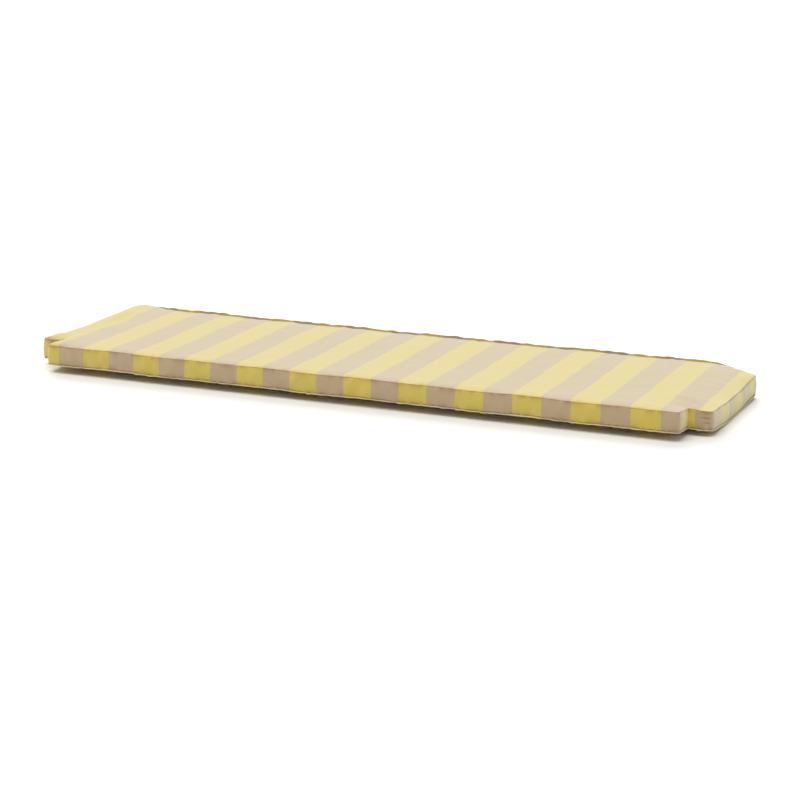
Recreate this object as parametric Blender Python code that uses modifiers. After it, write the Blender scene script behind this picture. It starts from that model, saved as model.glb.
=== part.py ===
"""Boxed seat cushion for a garden bench, as one filled solid.

The plan is a wide T: two front corners are cut away, so the front edge fits between
a pair of arm posts and a short wing passes outside each of them. The underside has a
flat band along the middle, and the front and back edges rise from it in a shallow
dish. X runs along the cushion, Y from its front to its back, Z up from the surface
that it lies on. Sizes are in metres.
"""

import math

import bmesh
import bpy
from mathutils import Vector

# Plan, from the front edge backwards
LENGTH = 1.584
TONGUE_LENGTH = 1.480
DEPTH = 0.505
NOTCH_DEPTH = 0.068

# Boxing and panels
SIDE_HEIGHT = 0.047
CORNER_EASE = 0.002

# The filled top: its level over the surface that the cushion lies on, which is a little
# higher in its back half, and the run over which the panel rises to it from its seam,
# at first steeply in front (a high power) and more evenly at the back
TOP_LEVEL = 0.0675
TOP_LEVEL_RISE = 0.0037
TOP_RISES_FROM = 0.120
TOP_RISES_TO = 0.370
CROWN_RUN = 0.080
CROWN_POWER_FRONT = 3.0
CROWN_POWER_BACK = 1.65
FRONT_SWELL = 0.0016

# Dish: a flat band underneath, and the rise of the front and back edges from it
BAND_FRONT = 0.225
BAND_BACK = 0.315
FRONT_RISE = 0.0175
BACK_RISE = 0.012
PRESSED_FLAT = 0.0004

# Unevenness of the edges
BACK_DRAWN_IN = 0.010
EDGE_WAVE = 0.0012
EDGE_WAVE_LENGTH = 0.330
EDGE_WAVE_RUN = 0.060

# How each end lies: it is drawn in between its corners, its back corner's tip is pulled
# forward, drawn in towards the middle and lifted, the wing's front tip droops below the
# front edge between the posts, and the top panel swells along the end, with a shallow
# dent beside that swell
CORNER_RUN = 0.110
WING_DROOP_RUN = 0.090
END_SWELL_RUN = 0.160
DENT_FROM_END = 0.080
DENT_FROM_FRONT = 0.300
DENT_ACROSS = 0.065
DENT_ALONG = 0.100
ENDS = {
    "left": {"drawn_in": 0.005, "forward": 0.010, "inward": 0.012, "lift": 0.0, "droop": 0.0,
             "front_swell": 0.0035, "back_swell": 0.0125, "dent": 0.006},
    "right": {"drawn_in": 0.001, "forward": 0.045, "inward": 0.0, "lift": -0.009, "droop": 0.004,
              "front_swell": -0.0025, "back_swell": 0.003, "dent": 0.0},
}

# Spacing of the cage: a short cell and a longer one beside each seam, and wider cells
# between
SEAM_CELL = 0.012
CROWN_CELL = 0.036
CELLS_BETWEEN_NOTCHES = 14
CELLS_BEFORE_BAND = 2
CELLS_BEHIND_BAND = 3
SUBDIVISION = 1

# Edge section from the bottom panel up to the top panel: the height as a share of
# SIDE_HEIGHT, and how far the cloth stands out from the seam line
SECTION = (
    {"ring": "bottom roll", "height": 0.00, "out": -0.0035},
    {"ring": "bottom lip", "height": 0.07, "out": 0.0005},
    {"ring": "bottom seam", "height": 0.16, "out": -0.0020},
    {"ring": "boxing low", "height": 0.34, "out": 0.0015},
    {"ring": "boxing high", "height": 0.74, "out": 0.0015},
    {"ring": "top seam", "height": 0.90, "out": -0.0020},
    {"ring": "top lip", "height": 0.96, "out": 0.0010},
    {"ring": "top roll", "height": 1.00, "out": -0.0030},
)

COVER_COLOUR = (0.74, 0.66, 0.36, 1.0)
COVER_ROUGHNESS = 0.9


def remove_scene_objects():
    for thing in list(bpy.data.objects):
        bpy.data.objects.remove(thing, do_unlink=True)


def smooth(t):
    """Ease from 0 to 1 as t goes from 0 to 1, flat at both ends."""
    t = min(max(t, 0.0), 1.0)
    return t * t * (3.0 - 2.0 * t)


def evenly(start, end, cells):
    return [start + (end - start) * k / cells for k in range(cells + 1)]


def column_stations():
    """X of the cage's columns, with a short cell beside each seam that crosses X."""
    wing = LENGTH / 2
    tongue = TONGUE_LENGTH / 2
    inner = tongue - CROWN_CELL
    middle_of_wing = (wing + tongue) / 2
    right_end = [tongue - SEAM_CELL, tongue, tongue + SEAM_CELL, middle_of_wing,
                 wing - SEAM_CELL, wing]
    middle = evenly(-inner, inner, CELLS_BETWEEN_NOTCHES)
    return [-x for x in reversed(right_end)] + middle + right_end


def row_stations():
    """Y of the cage's rows, counted from the front edge."""
    notch = [NOTCH_DEPTH - SEAM_CELL, NOTCH_DEPTH, NOTCH_DEPTH + SEAM_CELL]
    front = [0.0, SEAM_CELL, CROWN_CELL]
    before_band = evenly(NOTCH_DEPTH + CROWN_CELL, BAND_FRONT, CELLS_BEFORE_BAND)
    band = [(BAND_FRONT + BAND_BACK) / 2]
    behind = evenly(BAND_BACK, DEPTH - CROWN_CELL, CELLS_BEHIND_BAND)
    return front + notch + before_band + band + behind + [DEPTH - SEAM_CELL, DEPTH]


def flat_plan(columns, rows):
    """A grid of cells on the stations, without the cells of the two notches."""
    cage = bmesh.new()
    across = len(columns) - 1
    deep = len(rows) - 1
    bmesh.ops.create_grid(cage, x_segments=across, y_segments=deep, size=1.0)
    for vert in cage.verts:
        column = round((vert.co.x + 1.0) / 2.0 * across)
        row = round((vert.co.y + 1.0) / 2.0 * deep)
        vert.co = Vector((columns[column], rows[row], 0.0))
    notches = []
    for face in cage.faces:
        middle = face.calc_center_median()
        if abs(middle.x) > TONGUE_LENGTH / 2 and middle.y < NOTCH_DEPTH:
            notches.append(face)
    bmesh.ops.delete(cage, geom=notches, context="FACES")
    return cage


def plan_key(point):
    return round(point.x, 5), round(point.y, 5)


def eased_corners(cage):
    """For each outer corner of the plan, the step that rounds it off."""
    corners = {}
    for vert in cage.verts:
        if len(vert.link_faces) == 1:
            inward = vert.link_faces[0].calc_center_median() - vert.co
            corners[plan_key(vert.co)] = inward.normalized() * CORNER_EASE
    return corners


def outward_steps(cage):
    """For each point of the seam line, the step that moves both its sides out by 1."""
    steps = {}
    for edge in cage.edges:
        if len(edge.link_faces) != 1:
            continue
        middle = (edge.verts[0].co + edge.verts[1].co) / 2
        out = (middle - edge.link_faces[0].calc_center_median()).normalized()
        for vert in edge.verts:
            sides = steps.setdefault(plan_key(vert.co), [])
            if all(out.dot(side) < 0.9 for side in sides):
                sides.append(out)
    return {key: sum(sides, Vector()) for key, sides in steps.items()}


def raise_boxing(cage):
    """Extrude the plan upwards, and cut the wall into the rings of the section."""
    raised = bmesh.ops.extrude_face_region(cage, geom=cage.faces[:])["geom"]
    top = [item for item in raised if isinstance(item, bmesh.types.BMVert)]
    bmesh.ops.translate(cage, vec=(0.0, 0.0, 1.0), verts=top)
    upright = [edge for edge in cage.edges
               if abs(edge.verts[0].co.z - edge.verts[1].co.z) > 0.5]
    bmesh.ops.subdivide_edges(cage, edges=upright, cuts=len(SECTION) - 2)
    bmesh.ops.recalc_face_normals(cage, faces=cage.faces[:])


def inset(x, y):
    """Distance from a point of the plan to the nearest seam."""
    across = TONGUE_LENGTH / 2 - abs(x)
    ends = min(LENGTH / 2 - abs(x), DEPTH - y)
    if across < 0.0:
        return max(min(ends, y - NOTCH_DEPTH), 0.0)
    if y < NOTCH_DEPTH:
        return min(across, y)
    return min(ends, y, math.hypot(across, y - NOTCH_DEPTH))


def end_at(x):
    return ENDS["right"] if x > 0.0 else ENDS["left"]


def dish(y):
    """Rise of the underside: none on the flat band, most at the front and back."""
    front = smooth((BAND_FRONT - y) / BAND_FRONT)
    back = smooth((y - BAND_BACK) / (DEPTH - BAND_BACK))
    return FRONT_RISE * front + BACK_RISE * back


def dent(x, y):
    """Depth of the dent in the top panel beside an end's swell."""
    across = (LENGTH / 2 - abs(x) - DENT_FROM_END) / DENT_ACROSS
    along = (y - DENT_FROM_FRONT) / DENT_ALONG
    return end_at(x)["dent"] * (1.0 - smooth(math.hypot(across, along)))


def crown(x, y):
    """Rise of the top panel over its seam, up to the filled top's own level.

    A low swell beside the front seam and the ends' seams comes on top of that rise.
    Its factor makes its highest point 1, a third of the run in.
    """
    back = smooth((y - TOP_RISES_FROM) / (TOP_RISES_TO - TOP_RISES_FROM))
    fill = TOP_LEVEL + TOP_LEVEL_RISE * back - SIDE_HEIGHT - dish(y) - dent(x, y)
    power = CROWN_POWER_FRONT + (CROWN_POWER_BACK - CROWN_POWER_FRONT) * back
    near = min(inset(x, y) / CROWN_RUN, 1.0)
    end = 1.0 - smooth((LENGTH / 2 - abs(x)) / END_SWELL_RUN)
    end_swell = end_at(x)["front_swell"] * (1.0 - back) + end_at(x)["back_swell"] * back
    swell = FRONT_SWELL * (1.0 - back) * (1.0 - end) + end_swell * end
    return fill * (1.0 - (1.0 - near) ** power) + swell * 6.75 * near * (1.0 - near) ** 2


def toward_corner(x):
    """0 away from the back corner on this side, 1 at its tip."""
    return smooth(1.0 - (LENGTH / 2 - abs(x)) / CORNER_RUN)


def drawn_in_ends(x, y):
    """How far the ends pull in between their corners, towards the middle."""
    along = (y - NOTCH_DEPTH) / (DEPTH - NOTCH_DEPTH)
    bow = max(4.0 * along * (1.0 - along), 0.0)
    return end_at(x)["drawn_in"] * bow * math.copysign((2.0 * x / LENGTH) ** 8, x)


def settle(x, y):
    """How the cloth lies at the back edge, as a step in X, Y and Z."""
    end = end_at(x)
    corner = toward_corner(x)
    between = 1.0 - (2.0 * x / LENGTH) ** 2
    inward = -math.copysign(end["inward"] * corner, x)
    forward = -end["forward"] * corner - BACK_DRAWN_IN * between
    return Vector((inward, forward, end["lift"] * corner)) * (y / DEPTH) ** 5


def droop(x, y):
    """How far a wing's front tip hangs down: none on the seat itself."""
    out_on_wing = smooth(1.0 - (LENGTH / 2 - abs(x)) / WING_DROOP_RUN)
    near_front = 1.0 - smooth((y - NOTCH_DEPTH) / WING_DROOP_RUN)
    hanging = end_at(x)["droop"] * out_on_wing * near_front
    return hanging if y > NOTCH_DEPTH / 2 else 0.0


def edge_wave(x, y):
    """Slow unevenness of the seams' height, strongest at the long edges."""
    along = 2.0 * math.pi * x / EDGE_WAVE_LENGTH
    nearness = 1.0 - smooth(inset(x, y) / EDGE_WAVE_RUN)
    return EDGE_WAVE * nearness * (math.sin(along) + math.sin(1.7 * along + 1.0)) / 2.0


def shape_cage(cage, steps, corners):
    """Move every point of the cage from the upright block to the cushion's form."""
    rings = len(SECTION) - 1
    for vert in cage.verts:
        x, y, share = vert.co
        key = plan_key(vert.co)
        point = Vector((x - drawn_in_ends(x, y), y - DEPTH / 2, SIDE_HEIGHT * share))
        if key in steps:
            ring = SECTION[round(share * rings)]
            point.z = SIDE_HEIGHT * ring["height"]
            point += steps[key] * ring["out"] + corners.get(key, Vector())
        if share == 1.0:
            point.z += crown(x, y)
        sway = settle(x, y)
        if share > 0.0:
            point.z += edge_wave(x, y)
        else:
            sway.z = 0.0
        vert.co = point + sway + Vector((0.0, 0.0, dish(y) - droop(x, y)))


def rest_on_floor(mesh):
    """Put the middle of the box at X = Y = 0, and press the flat band onto Z = 0."""
    low = Vector(min(v.co[axis] for v in mesh.vertices) for axis in range(3))
    high = Vector(max(v.co[axis] for v in mesh.vertices) for axis in range(3))
    middle = (low + high) / 2
    for vert in mesh.vertices:
        vert.co -= Vector((middle.x, middle.y, low.z))
        if vert.co.z < PRESSED_FLAT:
            vert.co.z = 0.0


def cover_material():
    material = bpy.data.materials.new("cover_cloth")
    material.use_nodes = True
    shader = material.node_tree.nodes["Principled BSDF"]
    shader.inputs["Base Color"].default_value = COVER_COLOUR
    shader.inputs["Roughness"].default_value = COVER_ROUGHNESS
    shader.inputs["Metallic"].default_value = 0.0
    return material


def subdivided(cage):
    """The cage's smooth surface as a mesh of its own."""
    rough = bpy.data.meshes.new("cushion_cage")
    cage.to_mesh(rough)
    holder = bpy.data.objects.new("cushion_cage", rough)
    bpy.context.scene.collection.objects.link(holder)
    rounding = holder.modifiers.new("rounding", "SUBSURF")
    rounding.levels = SUBDIVISION
    rounding.render_levels = SUBDIVISION
    graph = bpy.context.evaluated_depsgraph_get()
    mesh = bpy.data.meshes.new_from_object(holder.evaluated_get(graph))
    bpy.data.objects.remove(holder, do_unlink=True)
    return mesh


def build_cushion(parts):
    cage = flat_plan(column_stations(), row_stations())
    steps = outward_steps(cage)
    corners = eased_corners(cage)
    raise_boxing(cage)
    shape_cage(cage, steps, corners)
    mesh = subdivided(cage)
    cage.free()
    rest_on_floor(mesh)
    mesh.name = "cushion"
    mesh.materials.append(cover_material())
    mesh.shade_smooth()
    cushion = bpy.data.objects.new("cushion", mesh)
    parts.objects.link(cushion)


def main():
    remove_scene_objects()
    parts = bpy.data.collections.new("bench_cushion")
    bpy.context.scene.collection.children.link(parts)
    build_cushion(parts)


main()
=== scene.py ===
"""Boxed seat cushion of striped canvas, in a plain studio.

The cover is one filled piece: a top panel, a boxing strip and a bottom panel, with a
seam above and below the boxing. The file is laid out as an add-on and run as a script.
Sizes are in metres. X runs along the cushion, Y from its front to its back, Z up.
"""

import math
import random

import bpy
import numpy as np
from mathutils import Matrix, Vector


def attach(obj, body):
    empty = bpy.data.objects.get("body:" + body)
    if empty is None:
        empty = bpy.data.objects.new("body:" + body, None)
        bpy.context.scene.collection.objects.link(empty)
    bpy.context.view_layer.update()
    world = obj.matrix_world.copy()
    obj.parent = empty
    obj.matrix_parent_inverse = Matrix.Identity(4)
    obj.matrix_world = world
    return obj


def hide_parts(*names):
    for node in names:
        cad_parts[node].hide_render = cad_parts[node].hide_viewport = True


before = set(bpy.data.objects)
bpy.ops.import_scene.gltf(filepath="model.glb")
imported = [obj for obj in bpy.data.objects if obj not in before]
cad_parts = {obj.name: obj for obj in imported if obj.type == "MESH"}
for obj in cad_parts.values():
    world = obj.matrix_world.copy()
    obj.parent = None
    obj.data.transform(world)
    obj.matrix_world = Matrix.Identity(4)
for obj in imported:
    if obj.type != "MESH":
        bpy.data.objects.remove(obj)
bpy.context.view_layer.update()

bl_info = {
    "name": "Bench cushion",
    "version": (1, 0, 0),
    "blender": (4, 5, 0),
    "location": "3D View > Sidebar > Cushion",
    "description": "Makes a boxed seat cushion of striped canvas and the studio that shows it",
    "category": "Add Mesh",
}

# How each end lies: it is drawn in between its corners, its back corner's tip is pulled
# forward, drawn in towards the middle and lifted (lowered where "lift" is negative), the
# wing's front tip droops below the front edge between the posts, and the top panel swells
# along the end, with a shallow dent beside that swell
ENDS = {
    "left": {"drawn_in": 0.005, "forward": 0.010, "inward": 0.012, "lift": -0.006, "droop": 0.0,
             "front_swell": 0.0085, "back_swell": 0.0150, "dent": 0.006},
    "right": {"drawn_in": 0.001, "forward": 0.045, "inward": 0.0, "lift": -0.009, "droop": 0.006,
              "front_swell": -0.0025, "back_swell": 0.003, "dent": 0.0},
}

# The boxing strip, side by side round the outline from the front's left corner.
# "edge" is where the first edge between two stripes lies, from the side's first corner,
# "width" is a stripe's width there, "first" is the stripe at the side's first corner,
# and "gather" is how strongly the cloth is gathered along that side's seams.
STRIP = (
    {"side": "front", "edge": 0.0296, "width": 0.0640, "first": "yellow", "gather": 1.0},
    {"side": "right notch", "edge": 0.0204, "width": 0.0640, "first": "sand", "gather": 0.8},
    {"side": "right wing", "edge": 0.0164, "width": 0.0640, "first": "yellow", "gather": 1.3},
    {"side": "right end", "edge": 0.0730, "width": 0.0657, "first": "sand", "gather": 0.3},
    {"side": "back", "edge": 0.0494, "width": 0.0640, "first": "yellow", "gather": 1.5},
    {"side": "left end", "edge": 0.0400, "width": 0.0640, "first": "sand", "gather": 1.2},
    {"side": "left wing", "edge": 0.0200, "width": 0.0640, "first": "yellow", "gather": 1.0},
    {"side": "left notch", "edge": 0.0310, "width": 0.0640, "first": "sand", "gather": 0.8},
)

# Folds across the boxing: how far along the side each one starts and ends, its height
# over the bottom edge, and its depth
FOLDS = (
    {"side": "right wing", "from": 0.034, "to": 0.056, "height": 0.0400, "depth": 0.0014},
    {"side": "right wing", "from": 0.032, "to": 0.056, "height": 0.0300, "depth": 0.0018},
    {"side": "right wing", "from": 0.036, "to": 0.056, "height": 0.0195, "depth": 0.0016},
    {"side": "left wing", "from": 0.022, "to": 0.052, "height": 0.0300, "depth": 0.0014},
    {"side": "right end", "from": 0.380, "to": 0.430, "height": 0.0270, "depth": 0.0016},
)
CREASE_WIDTH = 0.0016

# Lines of the mesh: how far those close to a panel's edge lie from it, how far the
# boxing's rings lie over the low seam and under the top seam, and how many lie between
LINES_BESIDE_EDGE = (0.0012, 0.0026, 0.0042, 0.0065, 0.0105)
RINGS_OVER_LOW_SEAM = (0.0011, 0.0026, 0.0055)
RINGS_UNDER_TOP_SEAM = (0.0080, 0.0045, 0.0022, 0.0010, 0.0)
RINGS_BETWEEN = 5

# A point of the pattern lies on the boxing when it is this near the panels' edge, and on
# a panel when its share of the side's height is this near 0 or 1
AT_EDGE = 1e-5
AT_PANEL = 0.0001

# The simulation of the filling: its frames, how far inside its form the cloth starts, how
# firmly it is held (at the panels' edge, how much more inside, and within a little of a
# seam), and how stiff it is
FILLING_FRAMES = 20
FILLING_STARTS_INSIDE = 0.0012
HELD_AT_EDGE = 0.10
HELD_MORE_INSIDE = 0.45
HELD_AT_SEAM = 0.95
HELD_BESIDE_SEAM = 0.0008
FILLED_CLOTH = {
    "quality": 5,
    "mass": 0.25,
    "tension_stiffness": 12.0,
    "compression_stiffness": 12.0,
    "shear_stiffness": 5.0,
    "bending_stiffness": 0.8,
    "use_pressure": True,
}

# Small gathers beside a seam, each value drawn between its two numbers ("step" in shares
# of the usual distance, "way" one of three), and the slow waves that are added up to make
# a panel or a seam uneven, each so many usual distances long
GATHER = {
    "step": (0.4, 1.6),
    "half_width": (0.0045, 0.0095),
    "reach": (0.006, 0.020),
    "slant": (-0.6, 0.6),
    "size": (0.25, 1.0),
    "way": (-1.0, -1.0, 1.0),
}
PANEL_WAVES = 14
PANEL_WAVE_LENGTHS = (0.7, 1.9)
SEAM_WAVES = 10
SEAM_WAVE_LENGTHS = (0.6, 2.2)
LATEST_PHASE = 6.283

# Sewing: how wide a seam's line is, how far below it its shadow reaches, how far from its
# edge the top panel lies quiet, how near a corner the cloth is held, and how far in the
# stripes start to wander and the puckers end
SEAM_LINE_WIDTH = 0.0012
SHADOW_REACH = 0.005
QUIET_FROM_EDGE = 0.05
HELD_AT_CORNER = 0.007
WANDERS_FROM_EDGE = 0.03
PUCKER_REACH = 0.012

# Also sewing: where a lip's crest lies and how wide it is, as shares of its height, how
# strongly it wavers, how strong, from where and at most how dark the painted shadow below a
# seam is, over what lengths a fold begins and ends, and how dark the painted shade of it and
# of the back lip is
CREST_AT = 0.52
CREST_WIDTH = 0.30
LIP_WAVERS = 0.45
UNDER_SHADOW_STRENGTH = 1.10
UNDER_SHADOW_FROM = 0.55
UNDER_SHADOW_MOST = 0.85
FOLD_BEGINS_OVER = 0.006
FOLD_ENDS_OVER = 0.008
FOLD_SHADE = 0.8
BACK_LIP_SHADE = 0.42

# The back lip: over what length it fades at the right and at the left end, and how far
# below the panel it starts to rise
LIP_FADES_RIGHT = 0.16
LIP_FADES_LEFT = 0.012
LIP_STARTS_BELOW = 0.014

# The share of the cover's points that its weight presses onto the floor
PRESSED_SHARE = 0.002

# Each light in degrees: how high it stands, how far round to the right of the front, and
# how wide it spreads
LIGHTS = {
    "key": {"height": 70.0, "round_to": -10.0, "spread": 50.0},
    "back": {"height": 35.0, "round_to": 210.0, "spread": 50.0},
}
LIGHT_DISTANCE = 4.0

# The camera's place, and in degrees how far it is turned, tipped and rolled
CAMERA = {
    "place": (1.8398, -4.5027, 1.1380),
    "turned_left": 21.939,
    "tipped_down": 13.635,
    "rolled": 0.843,
}


def length(label, text, default, **more):
    """A property that holds a length in metres."""
    return bpy.props.FloatProperty(name=label, description=text, default=default,
                                   unit="LENGTH", subtype="DISTANCE", precision=4, **more)


def share(label, text, default, **more):
    """A property that holds a plain number."""
    return bpy.props.FloatProperty(name=label, description=text, default=default, **more)


def colour(label, text, default):
    """A property that holds a colour."""
    return bpy.props.FloatVectorProperty(name=label, description=text, default=default,
                                         size=3, subtype="COLOR", min=0.0, max=1.0)


class CushionSizes(bpy.types.PropertyGroup):
    """Sizes of the filled cover."""

    length: length("Length", "Length over both wings", 1.584)
    tongue_length: length("Front length", "Length of the front edge, between the notches", 1.480)
    depth: length("Depth", "From the front edge to the back edge", 0.505)
    notch_depth: length("Notch depth", "How deep each front corner is cut away", 0.068)
    side_height: length("Side height", "Height of the boxing and both seams' lips", 0.047)
    top_level: length("Top level", "Height of the filled top over the floor", 0.0675)
    top_level_rise: length("Top level rise", "How much higher the top's back half is", 0.0037)
    top_rises_from: length("Top rises from", "Where that rise starts, from the front", 0.120)
    top_rises_to: length("Top rises to", "Where that rise ends, from the front", 0.370)
    crown_run: length("Crown run", "How far in the top panel reaches its level", 0.080)
    crown_power_front: share("Crown power front", "How steeply it starts to rise in front", 2.0)
    crown_power_back: share("Crown power back", "How steeply it starts at the back", 1.65)
    front_swell: length("Front swell", "Height of the low swell beside the front seam", 0.0008)
    band_front: length("Band front", "Front of the flat band underneath", 0.225)
    band_back: length("Band back", "Back of the flat band underneath", 0.315)
    front_rise: length("Front rise", "Rise of the front edge over the flat band", 0.0175)
    back_rise: length("Back rise", "Rise of the back edge over the flat band", 0.012)
    back_drawn_in: length("Back drawn in", "How far the back edge pulls in at its middle", 0.010)
    end_swell_run: length("End swell run", "How far in the swell along an end goes", 0.160)
    corner_run: length("Corner run", "How far a back corner's lie reaches", 0.110)
    corner_radius: length("Corner radius", "Radius of an outer corner in plan", 0.006)
    wing_radius: length("Wing radius", "Radius of the right wing's front corner", 0.018)
    dent_from_end: length("Dent from end", "Middle of a dent, from the end", 0.080)
    dent_from_front: length("Dent from front", "Middle of a dent, from the front", 0.300)
    dent_across: length("Dent across", "Half the width of a dent", 0.065)
    dent_along: length("Dent along", "Half the length of a dent", 0.100)
    wing_droop_run: length("Wing droop run", "How far in a wing's droop reaches", 0.090)
    edge_wave: length("Edge wave", "Slow unevenness of the seams' height", 0.0012)
    edge_wave_length: length("Edge wave length", "Length of one slow wave", 0.330)
    edge_wave_run: length("Edge wave run", "How far in that unevenness goes", 0.060)
    roll: length("Roll", "How far the seams' lips stand out past the panels' flat", 0.0026)
    belly: length("Belly", "How far the boxing bulges past its seams", 0.0016)
    top_lip_height: length("Top lip height", "From the top panel's edge to its seam", 0.0015)
    low_lip_height: length("Low lip height", "From the bottom edge to the low seam", 0.0036)
    back_lip: length("Back lip", "How far the lip along the back edge stands up", 0.0066)
    back_lip_width: length("Back lip width", "How wide that lip is", 0.0040)
    back_groove: length("Back groove", "Depth of the hollow in front of that lip", 0.0045)
    back_groove_width: length("Back groove width", "How far that hollow reaches", 0.0100)
    cell: length("Cell", "Widest spacing of the cover's mesh before it is smoothed", 0.0125)
    swell: length("Swell", "Most that the filling may push the cloth out", 0.005)
    pressure: share("Pressure", "Pressure of the filling against the cover", 4.0)


class CushionCloth(bpy.types.PropertyGroup):
    """Stripes, weave and sewing of the cover."""

    yellow: colour("Yellow", "Colour of the yellow stripe", (0.57, 0.430, 0.046))
    sand: colour("Sand", "Colour of the sand stripe", (0.425, 0.300, 0.170))
    # Painted highlight: a paler colour that the low seam's lip is mixed towards, where it
    # catches the light
    patch_and_lip_highlight: colour("Highlighted cloth", "Colour of the threads where a lip is rubbed", (0.80, 0.70, 0.42))
    stripe_width: length("Stripe width", "Width of every stripe", 0.064)
    stripe_sway: length("Stripe sway", "How far a stripe's edge wanders on the top", 0.0009)
    stripe_origin: length("Stripe origin", "X of an edge with yellow on its left", -0.7104)
    thread_pitch: length("Thread pitch", "Distance between two threads", 0.0009)
    top_lip: length("Top lip", "How far the top seam's lip stands out", 0.0010)
    low_lip: length("Low lip", "How far the low seam's lip stands out", 0.0024)
    groove: length("Groove", "How deep a seam's line is pulled in", 0.0022)
    gather_depth: length("Gather depth", "Depth of the small gathers beside a seam", 0.0018)
    gather_spacing: length("Gather spacing", "Usual distance between two gathers", 0.018)
    hollow_depth: length("Hollow depth", "Slow unevenness of the top panel", 0.0003)
    hollow_spacing: length("Hollow spacing", "Usual distance between two hollows", 0.055)
    back_lump_spacing: length("Back lump spacing", "Between two lumps of the back lip", 0.045)
    # Painted shadow below a seam, in uneven patches this far apart
    under_shadow_spacing: length("Shadow spacing", "Between two deep shadows below a seam", 0.070)
    seam_shade: colour("Seam shade", "What a seam's shadow leaves of the colour",
                       (0.58, 0.42, 0.24))
    sheen: share("Sheen", "Pale bloom of the cloth at a low angle", 1.0, min=0.0, max=1.0)
    sheen_colour: colour("Sheen colour", "Colour of that bloom", (1.0, 0.96, 0.76))
    roughness: share("Roughness", "Roughness of the threads", 0.75, min=0.0, max=1.0)


class StudioLook(bpy.types.PropertyGroup):
    """Floor, lights and camera."""

    floor_colour: colour("Floor colour", "Colour of the floor", (0.90, 0.89, 0.87))
    floor_size: length("Floor size", "Side of the square floor", 60.0)
    key_strength: share("Key strength", "Strength of the main light", 1.75)
    back_strength: share("Back strength", "Strength of the light from behind", 2.0)
    sky_strength: share("Sky strength", "Strength of the light from all round", 0.43)
    lens: share("Lens", "Focal length of the camera in millimetres", 99.6)


def smooth(t):
    """Ease from 0 to 1 as t goes from 0 to 1, flat at both ends."""
    t = np.clip(t, 0.0, 1.0)
    return t * t * (3.0 - 2.0 * t)


def bump(t):
    """1 at 0, falling to nothing by about 2 on either side."""
    return np.exp(-t * t)


# Reading and writing a mesh

def read_rows(source, field):
    """Rows of three numbers, one for every point."""
    flat = np.zeros(len(source) * 3, np.float32)
    source.foreach_get(field, flat)
    return flat.reshape(-1, 3).astype(float)


def points_of(mesh):
    """Every point's X, Y and Z."""
    return read_rows(mesh.vertices, "co")


def place_points(mesh, points):
    """Move the mesh's points to the given rows."""
    mesh.vertices.foreach_set("co", points.astype(np.float32).ravel())
    mesh.update()


def normals_of(mesh):
    """The way out of the surface at every point."""
    return read_rows(mesh.vertex_normals, "vector")


def keep_attribute(mesh, name, kind, values):
    """Keep a number or a vector for every point, under a name."""
    attribute = mesh.attributes.get(name) or mesh.attributes.new(name, kind, "POINT")
    field = "vector" if kind == "FLOAT_VECTOR" else "value"
    attribute.data.foreach_set(field, values.astype(np.float32).ravel())


def read_pattern(mesh):
    """Each point's place in the cut-out pattern: X, Y and the share of the side's height."""
    return read_rows(mesh.attributes["pattern"].data, "vector")


# The cut-out pattern

def outline(sizes):
    """Corners of the panels, in the order of STRIP. Y counts from the front edge."""
    wing = sizes.length / 2 - sizes.roll
    tongue = sizes.tongue_length / 2 - sizes.roll
    front = sizes.roll
    notch = sizes.notch_depth + sizes.roll
    back = sizes.depth - sizes.roll
    right = [(tongue, front), (tongue, notch), (wing, notch), (wing, back)]
    left = [(-x, y) for x, y in reversed(right)]
    corners = left[-1:] + right + left[:-1]
    return [np.array(corner) for corner in corners]


def along_outline(places, corners):
    """Nearest side, how far along the whole outline, and how far in, for each place."""
    side = np.zeros(len(places), int)
    run = np.zeros(len(places))
    gap = np.full(len(places), np.inf)
    before = 0.0
    for k, start in enumerate(corners):
        step = corners[(k + 1) % len(corners)] - start
        size = float(np.hypot(*step))
        part = np.clip((places - start) @ step / size ** 2, 0.0, 1.0)
        distance = np.hypot(*(places - start - part[:, None] * step).T)
        nearer = distance < gap - 1e-6
        side[nearer] = k
        run[nearer] = before + part[nearer] * size
        gap[nearer] = distance[nearer]
        before += size
    return side, run, gap


def side_starts(corners):
    """How far along the outline each side starts, and the outline's whole length."""
    starts = [0.0]
    for k, start in enumerate(corners):
        step = corners[(k + 1) % len(corners)] - start
        starts.append(starts[-1] + float(np.hypot(*step)))
    return starts


def stations(edges, cell, close):
    """Lines between the given edges: a few close to each edge, and even ones between."""
    lines = []
    for start, end in zip(edges, edges[1:]):
        first = start + close[-1]
        last = end - close[-1]
        count = max(round((last - first) / cell), 1)
        lines += [start] + [start + gap for gap in close]
        lines += [first + (last - first) * k / count for k in range(1, count)]
        lines += [end - gap for gap in reversed(close)]
    return lines + [edges[-1]]


def seam_heights(sizes):
    """Height of the low and of the top seam over the boxing's bottom edge."""
    return sizes.low_lip_height, sizes.side_height - sizes.top_lip_height


def ring_shares(sizes):
    """Heights of the boxing's rings, as shares of its height, closest at the seams."""
    low, top = seam_heights(sizes)
    whole = sizes.side_height
    lower = [part * low for part in (0.0, 0.25, 0.5, 0.75, 1.0)]
    lower += [low + gap for gap in RINGS_OVER_LOW_SEAM]
    upper = [top - gap for gap in RINGS_UNDER_TOP_SEAM]
    upper += [(top + whole) / 2, whole]
    middle = [lower[-1] + (upper[0] - lower[-1]) * k / (RINGS_BETWEEN + 1.0)
              for k in range(1, RINGS_BETWEEN + 1)]
    return [height / whole for height in lower + middle + upper]


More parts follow.
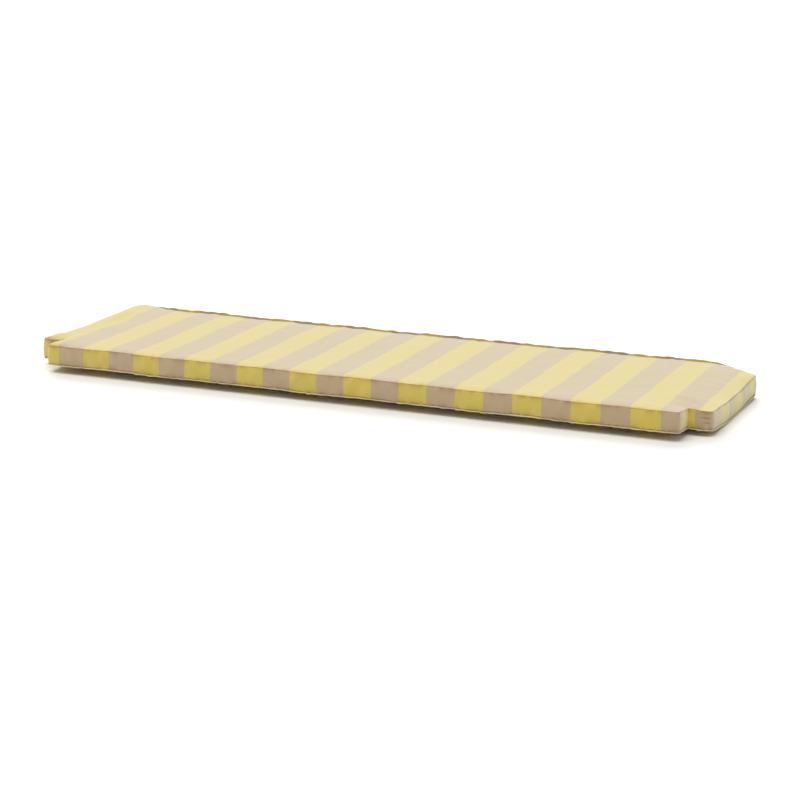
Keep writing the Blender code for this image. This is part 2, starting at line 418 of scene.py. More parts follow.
def flat_cover(sizes):
    """The pattern as a closed mesh: both panels flat, one above the other, 1 apart."""
    corners = outline(sizes)
    wing, notch = corners[3]
    tongue, front = corners[1]
    back = corners[4][1]
    columns = stations([-wing, -tongue, tongue, wing], sizes.cell, LINES_BESIDE_EDGE)
    rows = stations([front, notch, back], sizes.cell, LINES_BESIDE_EDGE)
    bpy.ops.mesh.primitive_grid_add(x_subdivisions=len(columns) - 1,
                                    y_subdivisions=len(rows) - 1, size=2.0)
    piece = bpy.context.active_object
    spot = points_of(piece.data)
    column = np.rint((spot[:, 0] + 1.0) / 2.0 * (len(columns) - 1)).astype(int)
    row = np.rint((spot[:, 1] + 1.0) / 2.0 * (len(rows) - 1)).astype(int)
    spot[:, 0] = np.array(columns)[column]
    spot[:, 1] = np.array(rows)[row]
    place_points(piece.data, spot)
    cut_notches(piece, tongue, notch)
    raise_boxing(piece, ring_shares(sizes))
    return piece


def cut_notches(piece, tongue, notch):
    """Delete the plan's faces in front of both wings."""
    bpy.ops.object.mode_set(mode="EDIT")
    bpy.ops.mesh.select_mode(type="FACE")
    bpy.ops.mesh.select_all(action="DESELECT")
    bpy.ops.object.mode_set(mode="OBJECT")
    for face in piece.data.polygons:
        face.select = abs(face.center.x) > tongue and face.center.y < notch
    bpy.ops.object.mode_set(mode="EDIT")
    bpy.ops.mesh.delete(type="FACE")
    bpy.ops.object.mode_set(mode="OBJECT")


def raise_boxing(piece, shares):
    """Extrude the plan upwards by 1, and cut the wall into rings at the given shares."""
    bpy.ops.object.mode_set(mode="EDIT")
    bpy.ops.mesh.select_all(action="SELECT")
    bpy.ops.mesh.extrude_region_move(TRANSFORM_OT_translate={"value": (0.0, 0.0, 1.0)})
    bpy.ops.mesh.select_mode(type="EDGE")
    bpy.ops.mesh.select_all(action="DESELECT")
    bpy.ops.object.mode_set(mode="OBJECT")
    spot = points_of(piece.data)
    for edge in piece.data.edges:
        edge.select = abs(spot[edge.vertices[0], 2] - spot[edge.vertices[1], 2]) > 0.5
    bpy.ops.object.mode_set(mode="EDIT")
    bpy.ops.mesh.subdivide(number_cuts=len(shares) - 2)
    bpy.ops.mesh.select_all(action="SELECT")
    bpy.ops.mesh.normals_make_consistent(inside=False)
    bpy.ops.object.mode_set(mode="OBJECT")
    spot = points_of(piece.data)
    ring = np.rint(spot[:, 2] * (len(shares) - 1)).astype(int)
    spot[:, 2] = np.array(shares)[ring]
    place_points(piece.data, spot)


# The form of the filled cover

def inset(x, y, sizes):
    """Distance from places in the plan to the nearest seam."""
    across = sizes.tongue_length / 2 - np.abs(x)
    ends = np.minimum(sizes.length / 2 - np.abs(x), sizes.depth - y)
    on_wing = np.maximum(np.minimum(ends, y - sizes.notch_depth), 0.0)
    in_front = np.maximum(np.minimum(across, y), 0.0)
    to_notch = np.hypot(across, y - sizes.notch_depth)
    behind = np.maximum(np.minimum(np.minimum(ends, y), to_notch), 0.0)
    return np.where(across < 0.0, on_wing, np.where(y < sizes.notch_depth, in_front, behind))


def end_value(x, key):
    """The value of ENDS for whichever end each X is nearer to."""
    return np.where(x > 0.0, ENDS["right"][key], ENDS["left"][key])


def dish(y, sizes):
    """Rise of the underside: none on the flat band, most at the front and back."""
    front = smooth((sizes.band_front - y) / sizes.band_front)
    back = smooth((y - sizes.band_back) / (sizes.depth - sizes.band_back))
    return sizes.front_rise * front + sizes.back_rise * back


def dent(x, y, sizes):
    """Depth of the dent in the top panel beside an end's swell."""
    across = (sizes.length / 2 - np.abs(x) - sizes.dent_from_end) / sizes.dent_across
    along = (y - sizes.dent_from_front) / sizes.dent_along
    return end_value(x, "dent") * (1.0 - smooth(np.hypot(across, along)))


def crown(x, y, sizes):
    """Rise of the top panel over its seam, up to the filled top's own level.

    A low swell beside the front seam and the ends' seams comes on top of that rise.
    Its factor makes its highest point 1, a third of the run in.
    """
    back = smooth((y - sizes.top_rises_from) / (sizes.top_rises_to - sizes.top_rises_from))
    level = sizes.top_level + sizes.top_level_rise * back
    fill = level - sizes.side_height - dish(y, sizes) - dent(x, y, sizes)
    power = sizes.crown_power_front * (1.0 - back) + sizes.crown_power_back * back
    near = np.minimum(inset(x, y, sizes) / sizes.crown_run, 1.0)
    end = 1.0 - smooth((sizes.length / 2 - np.abs(x)) / sizes.end_swell_run)
    end_swell = end_value(x, "front_swell") * (1.0 - back) + end_value(x, "back_swell") * back
    swell = sizes.front_swell * (1.0 - back) * (1.0 - end) + end_swell * end
    return fill * (1.0 - (1.0 - near) ** power) + swell * 6.75 * near * (1.0 - near) ** 2


def drawn_in_ends(x, y, sizes):
    """How far the ends pull in between their corners, towards the middle."""
    along = (y - sizes.notch_depth) / (sizes.depth - sizes.notch_depth)
    bow = np.maximum(4.0 * along * (1.0 - along), 0.0)
    return end_value(x, "drawn_in") * bow * np.copysign((2.0 * x / sizes.length) ** 8, x)


def settle(x, y, sizes):
    """How the cloth lies at the back edge, as a step in X, Y and Z."""
    corner = smooth(1.0 - (sizes.length / 2 - np.abs(x)) / sizes.corner_run)
    between = 1.0 - (2.0 * x / sizes.length) ** 2
    inward = -np.copysign(end_value(x, "inward") * corner, x)
    forward = -end_value(x, "forward") * corner - sizes.back_drawn_in * between
    lift = end_value(x, "lift") * corner
    return np.stack([inward, forward, lift], 1) * ((y / sizes.depth) ** 5)[:, None]


def droop(x, y, sizes):
    """How far a wing's front tip hangs down: none between the notches."""
    out_on_wing = smooth(1.0 - (sizes.length / 2 - np.abs(x)) / sizes.wing_droop_run)
    near_front = 1.0 - smooth((y - sizes.notch_depth) / sizes.wing_droop_run)
    return end_value(x, "droop") * out_on_wing * near_front * (y > sizes.notch_depth / 2)


def slow_wave(x, y, sizes):
    """Slow unevenness of the seams' height, strongest at the long edges."""
    along = 2.0 * math.pi * x / sizes.edge_wave_length
    nearness = 1.0 - smooth(inset(x, y, sizes) / sizes.edge_wave_run)
    return sizes.edge_wave * nearness * (np.sin(along) + np.sin(1.7 * along + 1.0)) / 2.0


def rounded_corners(x, y, corners, sizes):
    """The plan with its outer corners turned into arcs."""
    x = x.copy()
    y = y.copy()
    for k in (0, 1, 3, 4, 5, 6):
        corner = corners[k]
        radius = sizes.wing_radius if k == 3 else sizes.corner_radius
        into_x = -math.copysign(1.0, corner[0])
        into_y = -1.0 if k in (4, 5) else 1.0
        gap_x = (x - corner[0]) * into_x
        gap_y = (y - corner[1]) * into_y
        inside = (np.minimum(gap_x, gap_y) > -AT_EDGE) & (np.maximum(gap_x, gap_y) < radius)
        across = 1.0 - gap_x[inside] / radius
        up = 1.0 - gap_y[inside] / radius
        x[inside] = corner[0] + into_x * radius * (1.0 - across * np.sqrt(1.0 - up ** 2 / 2.0))
        y[inside] = corner[1] + into_y * radius * (1.0 - up * np.sqrt(1.0 - across ** 2 / 2.0))
    return x, y


def stand_out(height, sizes):
    """How far the boxing stands out past the panels' edge line at a height."""
    from_edge = np.minimum(height, sizes.side_height - height)
    turn = np.clip(from_edge / sizes.roll, 0.0, 1.0)
    rolled = sizes.roll * np.sqrt(1.0 - (1.0 - turn) ** 2)
    past_seam = smooth((from_edge - sizes.low_lip_height) / (sizes.side_height / 3))
    return rolled + sizes.belly * past_seam


def body_form(piece, sizes):
    """Move the flat pattern's points to the filled form, before any sewing shows."""
    pattern = points_of(piece.data)
    keep_attribute(piece.data, "pattern", "FLOAT_VECTOR", pattern)
    corners = outline(sizes)
    x, y = rounded_corners(pattern[:, 0], pattern[:, 1], corners, sizes)
    height = pattern[:, 2] * sizes.side_height
    place_points(piece.data, np.stack([x, y, height], 1))
    level = normals_of(piece.data)[:, :2]
    gap = along_outline(pattern[:, :2], corners)[2]
    level /= np.maximum(np.hypot(*level.T), 1e-9)[:, None]
    step = level * (stand_out(height, sizes) * (gap < AT_EDGE))[:, None]
    x += step[:, 0]
    y += step[:, 1]
    on_top = pattern[:, 2] > 1.0 - AT_PANEL
    underneath = pattern[:, 2] < AT_PANEL
    lift = crown(x, y, sizes) * on_top + slow_wave(x, y, sizes) * ~underneath
    sway = settle(x, y, sizes)
    sway[underneath, 2] = 0.0
    spot = np.stack([x - drawn_in_ends(x, y, sizes), y - sizes.depth / 2, height + lift], 1)
    spot += sway
    spot[:, 2] += dish(y, sizes) - droop(x, y, sizes) * (0.4 + 0.6 * pattern[:, 2])
    place_points(piece.data, spot)


def add_group(piece, name, weights):
    """A vertex group with each point's weight, rounded up to the next twentieth."""
    group = piece.vertex_groups.new(name=name)
    for step in range(20):
        low = step / 20.0
        chosen = np.flatnonzero((weights > low) & (weights <= low + 0.05))
        group.add([int(k) for k in chosen], low + 0.05, "REPLACE")
    return group.name


def fill_out(piece, sizes):
    """Let the filling press the cloth out between its seams, with Blender's cloth."""
    start = points_of(piece.data)
    normals = normals_of(piece.data)
    pattern = read_pattern(piece.data)
    gap = along_outline(pattern[:, :2], outline(sizes))[2]
    height = pattern[:, 2] * sizes.side_height
    low, top = seam_heights(sizes)
    to_seam = np.minimum(np.abs(height - low), np.abs(height - top))
    at_seam = (gap < AT_EDGE) & (to_seam < HELD_BESIDE_SEAM)
    held = HELD_AT_EDGE + HELD_MORE_INSIDE * smooth(gap / sizes.crown_run)
    held[at_seam] = HELD_AT_SEAM
    place_points(piece.data, start - normals * FILLING_STARTS_INSIDE)
    cloth = piece.modifiers.new("filling", "CLOTH")
    for name, value in FILLED_CLOTH.items():
        setattr(cloth.settings, name, value)
    cloth.settings.uniform_pressure_force = sizes.pressure
    cloth.settings.vertex_group_mass = add_group(piece, "held", held)
    cloth.settings.effector_weights.gravity = 0.0
    cloth.point_cache.frame_end = FILLING_FRAMES
    scene = bpy.context.scene
    for number in range(1, FILLING_FRAMES + 1):
        scene.frame_set(number)
    bpy.ops.object.modifier_apply(modifier=cloth.name)
    scene.frame_set(1)
    moved = points_of(piece.data) - start
    size = np.hypot(np.hypot(moved[:, 0], moved[:, 1]), moved[:, 2])
    limit = np.minimum(sizes.swell / np.maximum(size, 1e-9), 1.0)
    place_points(piece.data, start + moved * limit[:, None])
    piece.vertex_groups.clear()


def smooth_surface(piece):
    """One subdivision, applied."""
    rounding = piece.modifiers.new("rounding", "SUBSURF")
    rounding.levels = 1
    rounding.render_levels = 1
    bpy.ops.object.modifier_apply(modifier=rounding.name)


# Sewing: lips, grooves and gathers

def gathers(run, off, whole, spacing, seed):
    """Depth of the small gathers beside a seam, from about -1 to 1.

    "run" is how far along the seam a point is, "off" how far from it, and "whole" the
    length of the seam.
    """
    draw = random.Random(seed)
    field = np.zeros(len(run))
    place = 0.0
    while place < whole:
        place += spacing * draw.uniform(*GATHER["step"])
        half_width = draw.uniform(*GATHER["half_width"])
        reach = draw.uniform(*GATHER["reach"])
        slant = draw.uniform(*GATHER["slant"])
        size = draw.uniform(*GATHER["size"]) * draw.choice(GATHER["way"])
        gap = (run - place - slant * off + whole / 2) % whole - whole / 2
        fade = (off / reach) * np.exp(1.0 - off / reach)
        field += size * bump(gap / half_width) * fade
    return field


def side_ends(corners):
    """How far along the outline each side of STRIP starts, by its name."""
    return dict(zip([row["side"] for row in STRIP], side_starts(corners)))


def hollows(x, y, spacing, seed):
    """Slow uneven rise and fall of a filled panel, from about -1 to 1."""
    draw = random.Random(seed)
    field = np.zeros(len(x))
    for _ in range(PANEL_WAVES):
        turn = draw.uniform(0.0, math.pi)
        wave = 2.0 * math.pi / (spacing * draw.uniform(*PANEL_WAVE_LENGTHS))
        phase = draw.uniform(0.0, 2.0 * math.pi)
        field += np.sin(wave * (x * math.cos(turn) + y * math.sin(turn)) + phase)
    return field / math.sqrt(PANEL_WAVES)


def uneven(run, whole, spacing, seed):
    """A wavering factor along a seam, from about 0 to 2."""
    draw = random.Random(seed)
    field = np.zeros(len(run))
    for _ in range(SEAM_WAVES):
        turns = max(round(whole / (spacing * draw.uniform(*SEAM_WAVE_LENGTHS))), 1)
        phase = draw.uniform(0.0, LATEST_PHASE)
        field += np.sin(2.0 * math.pi * turns * run / whole + phase)
    return 1.0 + field / math.sqrt(SEAM_WAVES)


def sew(piece, sizes, cloth):
    """Raise the seams' lips, pull their lines in, and gather the cloth beside them."""
    mesh = piece.data
    pattern = read_pattern(mesh)
    corners = outline(sizes)
    side, run, gap = along_outline(pattern[:, :2], corners)
    whole = side_starts(corners)[-1]
    height = pattern[:, 2] * sizes.side_height
    on_wall = gap < AT_EDGE
    on_top = pattern[:, 2] > 1.0 - AT_PANEL
    strength = np.array([row["gather"] for row in STRIP])[side]
    normals = normals_of(mesh)
    moved = np.zeros(len(pattern))
    shadow = np.zeros(len(pattern))
    pale = np.zeros(len(pattern))
    low, top = seam_heights(sizes)
    seams = (
        {"height": low, "up": -1.0, "lip": cloth.low_lip, "lip_height": low, "seed": 11},
        {"height": top, "up": 1.0, "lip": cloth.top_lip, "lip_height": sizes.top_lip_height,
         "seed": 23},
    )
    for seam in seams:
        off = (height - seam["height"]) * seam["up"]
        lip_off = off / seam["lip_height"]
        waver = uneven(run, whole, cloth.gather_spacing, seam["seed"] + 2)
        line = bump(off / SEAM_LINE_WIDTH) * on_wall
        crest = bump((lip_off - CREST_AT) / CREST_WIDTH) * on_wall
        moved += seam["lip"] * (1.0 + LIP_WAVERS * strength * (waver - 1.0)) * crest
        moved -= cloth.groove * (0.75 + 0.25 * waver) * line
        shadow = np.maximum(shadow, line * np.clip(0.35 + 0.5 * waver, 0.0, 1.0))
        # Painted shadow below a seam, in uneven patches, standing in for the shade of its
        # puckers
        deep = uneven(run, whole, cloth.under_shadow_spacing, seam["seed"] + 5) * (0.6 + 0.4 * waver)
        under = np.exp(np.minimum(off, 0.0) / SHADOW_REACH) * (off < 0.0) * on_wall
        under_shadow = np.clip(UNDER_SHADOW_STRENGTH * (deep - UNDER_SHADOW_FROM), 0.0, UNDER_SHADOW_MOST)
        shadow = np.maximum(shadow, under * under_shadow)
        # Painted highlight on the low seam's lip, where it catches the light
        pale = np.maximum(pale, crest * (seam["up"] < 0.0))
        below = on_wall & (off < 0.0)
        wall_off = np.where(below, -off, 0.0)
        gathered = gathers(run, wall_off, whole, cloth.gather_spacing, seam["seed"])
        moved += cloth.gather_depth * strength * gathered * below
        panel = ~on_wall & ((pattern[:, 2] > 0.5) == (seam["up"] > 0.0))
        gathered = gathers(run, gap, whole, cloth.gather_spacing, seam["seed"] + 1)
        moved += 0.5 * cloth.gather_depth * strength * gathered * panel
    starts = side_ends(corners)
    for fold in FOLDS:
        first = starts[fold["side"]] + fold["from"]
        last = starts[fold["side"]] + fold["to"]
        reach = smooth((run - first) / FOLD_BEGINS_OVER + 0.5)
        reach = reach * smooth((last - run) / FOLD_ENDS_OVER)
        crease = reach * bump((height - fold["height"]) / CREASE_WIDTH) * on_wall
        moved -= fold["depth"] * crease
        shadow = np.maximum(shadow, FOLD_SHADE * crease)
    quiet = smooth(gap / QUIET_FROM_EDGE)
    hollow = hollows(pattern[:, 0], pattern[:, 1], cloth.hollow_spacing, 5)
    moved += cloth.hollow_depth * hollow * (0.35 + 0.65 * quiet) * on_top
    to_corner = np.min([np.hypot(*(pattern[:, :2] - corner).T) for corner in corners], 0)
    moved *= 1.0 - 0.6 * bump(to_corner / HELD_AT_CORNER)
    spot = points_of(mesh) + normals * moved[:, None]
    lump = uneven(run, whole, cloth.back_lump_spacing, 31)
    raised = back_lip(pattern[:, 0], side, gap, height, lump, sizes)
    spot[:, 2] += raised
    lip_shadow = BACK_LIP_SHADE * smooth(raised / (0.4 * sizes.back_lip))
    shadow = np.maximum(shadow, lip_shadow)
    place_points(mesh, spot)
    # The painted shade and the low lip's painted highlight, kept for the material
    keep_attribute(mesh, "seam_shadow", "FLOAT", shadow)
    keep_attribute(mesh, "lip_highlight", "FLOAT", pale)


def back_lip(x, side, gap, height, lump, sizes):
    """Rise of the lip that stands up along the back seam."""
    at_back = np.array([row["side"] == "back" for row in STRIP])[side]
    at_back = at_back * smooth((sizes.length / 2 - x) / LIP_FADES_RIGHT)
    at_back = at_back * smooth((sizes.length / 2 + x) / LIP_FADES_LEFT)
    inner = 1.0 - smooth((gap - 0.4 * sizes.back_lip_width) / (0.6 * sizes.back_lip_width))
    outer = smooth(1.0 - (sizes.side_height - height) / LIP_STARTS_BELOW)
    half_groove = 0.5 * sizes.back_groove_width
    hollow = bump((gap - sizes.back_lip_width - half_groove) / half_groove)
    hollow = hollow * (height > (1.0 - AT_PANEL) * sizes.side_height)
    lip = sizes.back_lip * (0.88 + 0.12 * lump) * inner * outer
    return (lip - sizes.back_groove * hollow) * at_back


def rest_on_floor(piece):
    """Put the middle of the cover's box at X = Y = 0 and press its lowest points onto Z = 0."""
    spot = points_of(piece.data)
    middle = (spot.min(0) + spot.max(0)) / 2
    spot[:, :2] -= middle[:2]
    spot[:, 2] -= np.quantile(spot[:, 2], PRESSED_SHARE)
    spot[:, 2] = np.maximum(spot[:, 2], 0.0)
    place_points(piece.data, spot)


def cut_lines(piece, sizes, cloth):
    """A UV map in metres: across the stripes and along them, with every side's own phase."""
    mesh = piece.data
    pattern = read_pattern(mesh)
    corners = outline(sizes)
    loop_vertex = np.zeros(len(mesh.loops), np.int32)
    mesh.loops.foreach_get("vertex_index", loop_vertex)
    corner_pattern = pattern[loop_vertex]
    face_size = np.zeros(len(mesh.polygons), np.int32)
    mesh.polygons.foreach_get("loop_total", face_size)
    face_of = np.repeat(np.arange(len(face_size)), face_size)
    middle = np.stack([np.bincount(face_of, corner_pattern[:, axis]) / face_size
                       for axis in range(3)], 1)
    side_of_face, _, gap_of_face = along_outline(middle[:, :2], corners)
    on_lip = (middle[:, 2] > 0.5) & (gap_of_face < sizes.back_lip_width)
    on_lip &= np.array([row["side"] == "back" for row in STRIP])[side_of_face]
    on_wall = (middle[:, 2] > AT_PANEL) & (middle[:, 2] < 1.0 - AT_PANEL)
    on_strip = on_wall | on_lip
    side = side_of_face[face_of]
    wander = hollows(corner_pattern[:, 0], corner_pattern[:, 1], cloth.hollow_spacing, 9)
    wander *= smooth(along_outline(corner_pattern[:, :2], corners)[2] / WANDERS_FROM_EDGE)
    u = corner_pattern[:, 0] - cloth.stripe_origin + cloth.stripe_sway * wander
    v = corner_pattern[:, 1].copy()
    for k, row in enumerate(STRIP):
        here = on_strip[face_of] & (side == k)
        step = corners[(k + 1) % len(corners)] - corners[k]
        way = step / np.hypot(*step)
        run = (corner_pattern[here, :2] - corners[k]) @ way
        edges = np.maximum((run - row["edge"]) / row["width"], -0.999)
        parity = 0.0 if row["first"] == "yellow" else 1.0
        u[here] = (edges + parity) * cloth.stripe_width
        v[here] = corner_pattern[here, 2] * sizes.side_height
    layer = mesh.uv_layers.new(name="cut")
    layer.data.foreach_set("uv", np.stack([u, v], 1).astype(np.float32).ravel())
    side, _, gap = along_outline(pattern[:, :2], corners)
    height = pattern[:, 2] * sizes.side_height
    low, top = seam_heights(sizes)
    gathered = np.minimum(np.array([row["gather"] for row in STRIP])[side], 1.0)
    to_seam = np.minimum(np.hypot(gap, height - low), np.hypot(gap, height - top))
    near = np.exp(-to_seam / PUCKER_REACH) * gathered
    keep_attribute(mesh, "near_seam", "FLOAT", near)


# Materials

class Nodes:
    """Adds nodes to one node tree and joins them."""

    def __init__(self, tree):
        self.tree = tree

    def add(self, kind, inputs=None, **settings):
        node = self.tree.nodes.new(kind)
        for name, value in settings.items():
            setattr(node, name, value)
        for name, value in (inputs or {}).items():
            self.feed(node.inputs[name], value)
        return node

    def feed(self, socket, value):
        if isinstance(value, bpy.types.NodeSocket):
            self.tree.links.new(value, socket)
        else:
            socket.default_value = value

    def math(self, operation, *values):
        node = self.add("ShaderNodeMath", operation=operation)
        for socket, value in zip(node.inputs, values):
            self.feed(socket, value)
        return node.outputs[0]

    def mix(self, factor, first, second, blend="MIX"):
        node = self.add("ShaderNodeMix", data_type="RGBA", blend_type=blend)
        self.feed(node.inputs["Factor"], factor)
        self.feed(node.inputs[6], first)
        self.feed(node.inputs[7], second)
        return node.outputs[2]

    def noise(self, vector, scale, detail=2.0, **more):
        inputs = {"Vector": vector, "Scale": scale, "Detail": detail, **more}
        return self.add("ShaderNodeTexNoise", inputs).outputs["Fac"]

    def scaled(self, start, across, along):
        """The cloth's two lengths, each multiplied, as one vector."""
        lengths = {"X": self.math("MULTIPLY", start["Across"], across),
                   "Y": self.math("MULTIPLY", start["Along"], along)}
        return self.add("ShaderNodeCombineXYZ", lengths).outputs[0]

    def point_value(self, name):
        """A number that the mesh keeps for every point."""
        return self.add("ShaderNodeAttribute", attribute_name=name).outputs["Fac"]


def new_group(name, inputs, outputs):
    """An empty node group with the named sockets."""
    group = bpy.data.node_groups.new(name, "ShaderNodeTree")
    for label, kind, default in inputs:
        socket = group.interface.new_socket(name=label, in_out="INPUT", socket_type=kind)
        if default is not None:
            socket.default_value = default
    for label, kind in outputs:
        group.interface.new_socket(name=label, in_out="OUTPUT", socket_type=kind)
    nodes = Nodes(group)
    start = nodes.add("NodeGroupInput").outputs
    end = nodes.add("NodeGroupOutput").inputs
    return nodes, start, end


def plain_weave_group():
    """Threads over and under each other: a height and a shade from 0 to 1."""
    nodes, start, end = new_group(
        "plain weave",
        [("Across", "NodeSocketFloat", 0.0), ("Along", "NodeSocketFloat", 0.0),
         ("Pitch", "NodeSocketFloat", 0.001)],
        [("Height", "NodeSocketFloat"), ("Slub", "NodeSocketFloat")])
    turn = nodes.math("DIVIDE", math.pi, start["Pitch"])
    warp = nodes.math("SINE", nodes.math("MULTIPLY", start["Across"], turn))
    weft = nodes.math("SINE", nodes.math("MULTIPLY", start["Along"], turn))
    over = nodes.math("MULTIPLY", warp, weft)
    height = nodes.math("MULTIPLY_ADD", over, 0.5, 0.5)
    nodes.feed(end["Height"], height)
    fine, drawn_out = 900.0, 30.0
    first = nodes.noise(nodes.scaled(start, fine, drawn_out), 1.0)
    second = nodes.noise(nodes.scaled(start, drawn_out, fine), 1.0)
    nodes.feed(end["Slub"], nodes.math("MULTIPLY", nodes.math("ADD", first, second), 0.5))
    return nodes.tree


def pucker_group():
    """Short uneven rucks that run away from a seam: a height and a shade from 0 to 1."""
    nodes, start, end = new_group(
        "seam puckers",
        [("Across", "NodeSocketFloat", 0.0), ("Along", "NodeSocketFloat", 0.0),
         ("Near seam", "NodeSocketFloat", 0.0)],
        [("Height", "NodeSocketFloat"), ("Shade", "NodeSocketFloat")])
    rucks = nodes.noise(nodes.scaled(start, 150.0, 45.0), 1.0, 2.0, Roughness=0.6)
    ridged = nodes.math("ABSOLUTE", nodes.math("MULTIPLY_ADD", rucks, 2.0, -1.0))
    near = nodes.math("POWER", start["Near seam"], 1.4)
    nodes.feed(end["Height"], nodes.math("MULTIPLY", ridged, near))
    spots = nodes.add("ShaderNodeMapRange", {"Value": rucks, "From Min": 0.50,
                                             "From Max": 0.74, "To Max": 0.55},
                      interpolation_type="SMOOTHSTEP").outputs[0]
    nodes.feed(end["Shade"], nodes.math("MULTIPLY", spots, near))
    return nodes.tree


def stripes_group():
    """1 on a yellow stripe and 0 on a sand one, for a length measured across them."""
    nodes, start, end = new_group(
        "awning stripes",
        [("Across", "NodeSocketFloat", 0.0), ("Width", "NodeSocketFloat", 0.064)],
        [("Yellow", "NodeSocketFloat")])
    turns = nodes.math("DIVIDE", start["Across"], start["Width"])
    half = nodes.math("MODULO", nodes.math("FLOOR", turns), 2.0)
    nodes.feed(end["Yellow"], nodes.math("ABSOLUTE", half))
    return nodes.tree


def cover_material(cloth):
    """Striped canvas: dyed stripes, a plain weave, and painted shade and rucks beside the seams,
    with a painted highlight on the low seam's lip.
    """
    material = bpy.data.materials.new("striped_canvas")
    material.use_nodes = True
    material.node_tree.nodes.clear()
    nodes = Nodes(material.node_tree)
    place = nodes.add("ShaderNodeUVMap", uv_map="cut").outputs[0]
    split = nodes.add("ShaderNodeSeparateXYZ", {"Vector": place}).outputs
    body = nodes.add("ShaderNodeTexCoord").outputs["Object"]
    lengths = {"Across": split["X"], "Along": split["Y"]}
    weave = nodes.add("ShaderNodeGroup", {**lengths, "Pitch": cloth.thread_pitch},
                      node_tree=plain_weave_group())
    stripes = nodes.add("ShaderNodeGroup", {"Across": split["X"], "Width": cloth.stripe_width},
                        node_tree=stripes_group())
    pucker = nodes.add("ShaderNodeGroup",
                       {**lengths, "Near seam": nodes.point_value("near_seam")},
                       node_tree=pucker_group())
    yellow = stripes.outputs["Yellow"]

    dyed = nodes.mix(yellow, (*cloth.sand, 1.0), (*cloth.yellow, 1.0))
    slub = nodes.math("MULTIPLY_ADD", weave.outputs["Slub"], 0.16, 0.92)
    faded = nodes.math("MULTIPLY_ADD", nodes.noise(body, 7.0), 0.06, 0.97)
    tone = nodes.math("MULTIPLY", slub, faded)
    deepest = nodes.math("MAXIMUM", nodes.point_value("seam_shadow"), pucker.outputs["Shade"])
    toned = nodes.mix(1.0, dyed, tone, "MULTIPLY")
    dark = nodes.mix(1.0, toned, (*cloth.seam_shade, 1.0), "MULTIPLY")
    toned = nodes.mix(deepest, toned, dark)
    # Painted highlight: the low seam's lip is mixed towards a paler colour
    brightened = nodes.math("MULTIPLY", nodes.point_value("lip_highlight"), 0.45)
    toned = nodes.mix(brightened, toned, (*cloth.patch_and_lip_highlight, 1.0))

    rough = nodes.math("MULTIPLY_ADD", weave.outputs["Slub"], 0.10, cloth.roughness)
    thread = nodes.add("ShaderNodeBump", {"Height": weave.outputs["Height"],
                                          "Strength": 0.5, "Distance": 0.0002})
    rucked = nodes.add("ShaderNodeBump", {"Height": pucker.outputs["Height"],
                                          "Strength": 0.6, "Distance": 0.0014,
                                          "Normal": thread.outputs["Normal"]})
    shader = nodes.add("ShaderNodeBsdfPrincipled", {
        "Base Color": toned,
        "Roughness": rough,
        "Normal": rucked.outputs["Normal"],
        "Specular IOR Level": 0.35,
        "Sheen Weight": cloth.sheen,
        "Sheen Roughness": 0.6,
        "Sheen Tint": (*cloth.sheen_colour, 1.0),
    })
    out = nodes.add("ShaderNodeOutputMaterial")
    nodes.feed(out.inputs["Surface"], shader.outputs[0])
    return material


def floor_material(look):
    """Matt pale paper, a shade darker in slow patches."""
    material = bpy.data.materials.new("studio_floor")
    material.use_nodes = True
    nodes = Nodes(material.node_tree)
    shader = material.node_tree.nodes["Principled BSDF"]
    body = nodes.add("ShaderNodeTexCoord").outputs["Object"]
    pale = (*look.floor_colour, 1.0)
    patch_and_lip_highlight = (*(0.985 * part for part in look.floor_colour), 1.0)
    nodes.feed(shader.inputs["Base Color"], nodes.mix(nodes.noise(body, 0.8), pale, patch_and_lip_highlight))
    shader.inputs["Roughness"].default_value = 0.9
    shader.inputs["Specular IOR Level"].default_value = 0.1
    return material


# Operators

class CUSHION_OT_cover(bpy.types.Operator):
    """Make the filled cover: panels, boxing and seams"""

    bl_idname = "cushion.cover"
    bl_label = "Filled cover"

    def execute(self, context):
        sizes = context.scene.cushion_sizes
        cloth = context.scene.cushion_cloth
        bpy.ops.object.select_all(action="DESELECT")
        piece = flat_cover(sizes)
        piece.name = "filled_cover"
        piece.data.name = "filled_cover"
        body_form(piece, sizes)
        fill_out(piece, sizes)
        smooth_surface(piece)
        sew(piece, sizes, cloth)
        rest_on_floor(piece)
        for layer in list(piece.data.uv_layers):
            piece.data.uv_layers.remove(layer)
        cut_lines(piece, sizes, cloth)
        piece.data.materials.append(cover_material(cloth))
        bpy.ops.object.shade_smooth()
        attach(piece, "root")
        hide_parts("cushion")
        return {"FINISHED"}


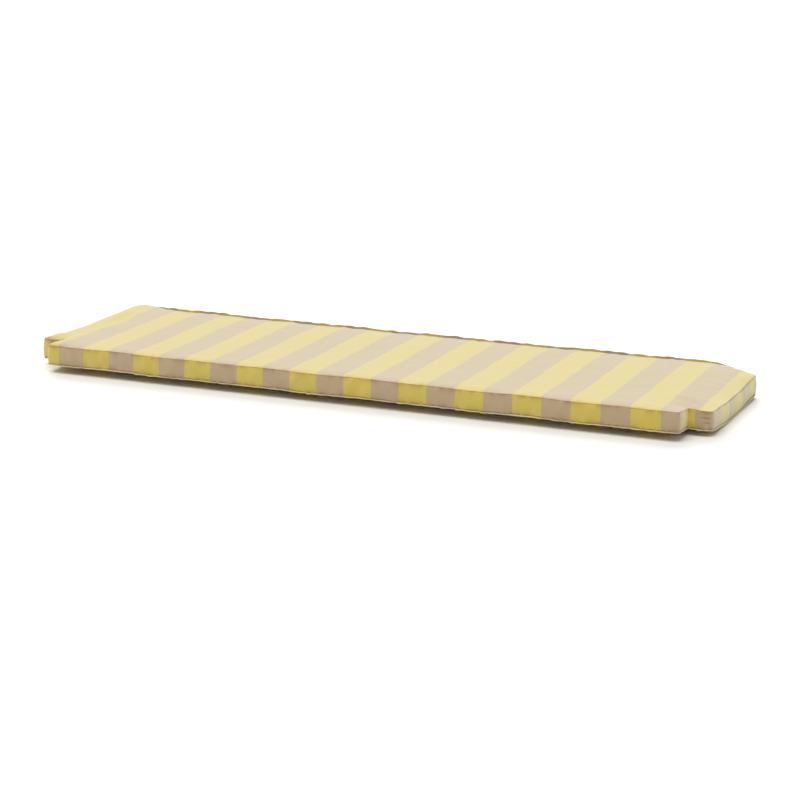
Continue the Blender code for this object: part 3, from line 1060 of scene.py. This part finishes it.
class CUSHION_OT_studio(bpy.types.Operator):
    """Make the floor, the lights and the camera"""

    bl_idname = "cushion.studio"
    bl_label = "Studio"

    def execute(self, context):
        look = context.scene.studio_look
        bpy.ops.object.select_all(action="DESELECT")
        bpy.ops.mesh.primitive_plane_add(size=look.floor_size)
        floor = context.active_object
        floor.name = "studio_floor"
        floor.data.materials.append(floor_material(look))
        self.light(context, "key", look.key_strength)
        self.light(context, "back", look.back_strength)
        world = bpy.data.worlds.new("studio")
        world.use_nodes = True
        background = world.node_tree.nodes["Background"]
        background.inputs["Color"].default_value = (1.0, 1.0, 1.0, 1.0)
        background.inputs["Strength"].default_value = look.sky_strength
        context.scene.world = world
        self.camera(context, look)
        return {"FINISHED"}

    def light(self, context, name, strength):
        """One of the wide distant lights of LIGHTS."""
        data = bpy.data.lights.new(name, "SUN")
        data.energy = strength
        data.angle = math.radians(LIGHTS[name]["spread"])
        lamp = bpy.data.objects.new(name, data)
        context.scene.collection.objects.link(lamp)
        up = math.radians(LIGHTS[name]["height"])
        turn = math.radians(LIGHTS[name]["round_to"])
        way = Vector((math.sin(turn) * math.cos(up), -math.cos(turn) * math.cos(up),
                      math.sin(up)))
        lamp.rotation_euler = way.to_track_quat("Z", "Y").to_euler()
        lamp.location = way * LIGHT_DISTANCE

    def camera(self, context, look):
        """The photo's own view."""
        data = bpy.data.cameras.new("camera")
        data.sensor_width = 36.0
        data.lens = look.lens
        camera = bpy.data.objects.new("camera", data)
        context.scene.collection.objects.link(camera)
        camera.location = CAMERA["place"]
        yaw = math.radians(CAMERA["turned_left"])
        pitch = math.radians(CAMERA["tipped_down"])
        camera.rotation_euler = (math.pi / 2 - pitch, 0.0, yaw)
        camera.rotation_euler.rotate_axis("Z", math.radians(CAMERA["rolled"]))
        context.scene.camera = camera
        context.scene.view_settings.view_transform = "Standard"


class CUSHION_PT_panel(bpy.types.Panel):
    """Lists the cushion's operators"""

    bl_idname = "CUSHION_PT_panel"
    bl_label = "Cushion"
    bl_space_type = "VIEW_3D"
    bl_region_type = "UI"
    bl_category = "Cushion"

    def draw(self, context):
        for operator in (CUSHION_OT_cover, CUSHION_OT_studio):
            self.layout.operator(operator.bl_idname)


GROUPS = {
    "cushion_sizes": CushionSizes,
    "cushion_cloth": CushionCloth,
    "studio_look": StudioLook,
}
CLASSES = (CUSHION_OT_cover, CUSHION_OT_studio, CUSHION_PT_panel)


def register():
    """Make the properties, operators and panel known."""
    for name, group in GROUPS.items():
        bpy.utils.register_class(group)
        setattr(bpy.types.Scene, name, bpy.props.PointerProperty(type=group))
    for kind in CLASSES:
        bpy.utils.register_class(kind)


def unregister():
    """Take them out again."""
    for kind in reversed(CLASSES):
        bpy.utils.unregister_class(kind)
    for name, group in reversed(GROUPS.items()):
        delattr(bpy.types.Scene, name)
        bpy.utils.unregister_class(group)


def main():
    """Make the cushion and its studio."""
    register()
    bpy.ops.cushion.cover()
    bpy.ops.cushion.studio()


if __name__ == "__main__":
    main()
